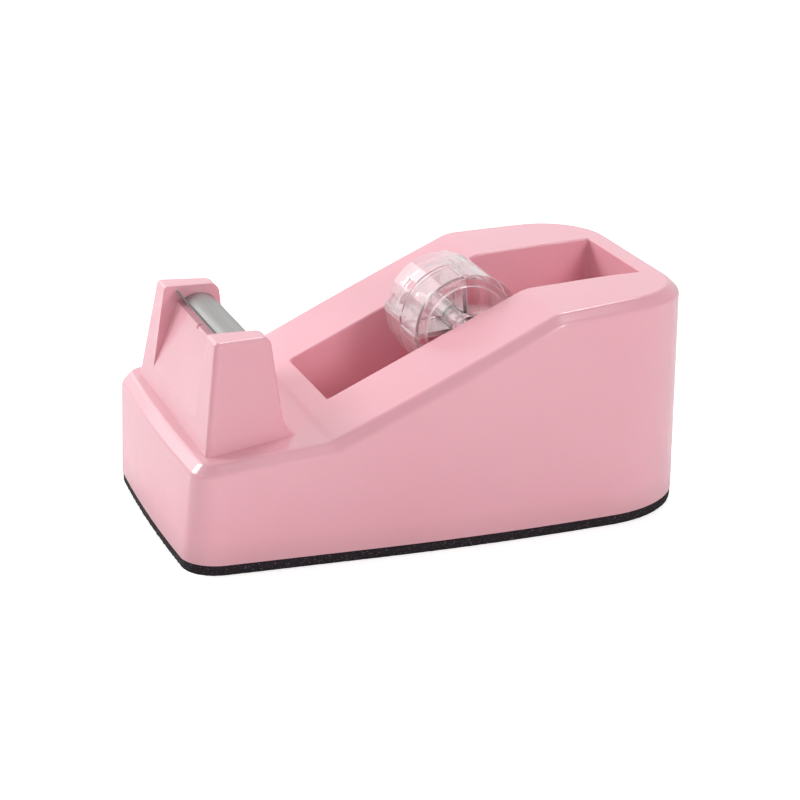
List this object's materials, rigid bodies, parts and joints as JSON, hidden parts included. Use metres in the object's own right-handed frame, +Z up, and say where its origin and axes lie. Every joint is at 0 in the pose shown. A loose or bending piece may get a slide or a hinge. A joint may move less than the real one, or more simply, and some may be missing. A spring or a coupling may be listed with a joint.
{
  "type": "tape dispenser",
  "caption": "Weighted desk tape dispenser with a moulded body, an open wheel well, a lift-out clear hub for small-core tape and a toothed steel cutter.",
  "frame": {"origin": "on the ground under the middle of the body", "axes": "+Z up, -X towards the cutter end, +X towards the rear, Y across the width along the hub's axle"},
  "size_m": [0.1208, 0.077, 0.0542],
  "materials": {
    "body": "satin pink moulded ABS",
    "base": "matte black moulded plastic",
    "foam": "closed-cell foam, near black, fine speckle",
    "screw": "zinc plated",
    "ballast": "cast mineral weight",
    "blade": "bright rolled strip",
    "wheel": "clear polystyrene",
    "axle": "clear polystyrene"
  },
  "bodies": {
    "housing": {"body_shell": "body", "base_plate": "base", "foam_pad": "foam", "base_screws": "screw", "ballast_front": "ballast", "ballast_near": "ballast", "ballast_far": "ballast", "cutter_blade": "blade"},
    "axle": {"axle_pin": "axle"},
    "hub": {"wheel_far_half": "wheel", "wheel_near_half": "wheel"}
  },
  "joints": [
    {"name": "wheel_lift", "type": "slide", "parent": "housing", "child": "axle", "axis": [0, 0, 1], "range_m": [0, 0.045]},
    {"name": "wheel_spin", "type": "hinge", "parent": "axle", "child": "hub", "pos_m": [0.0119, 0, 0.0412], "axis": [0, 1, 0], "continuous": true}
  ]
}
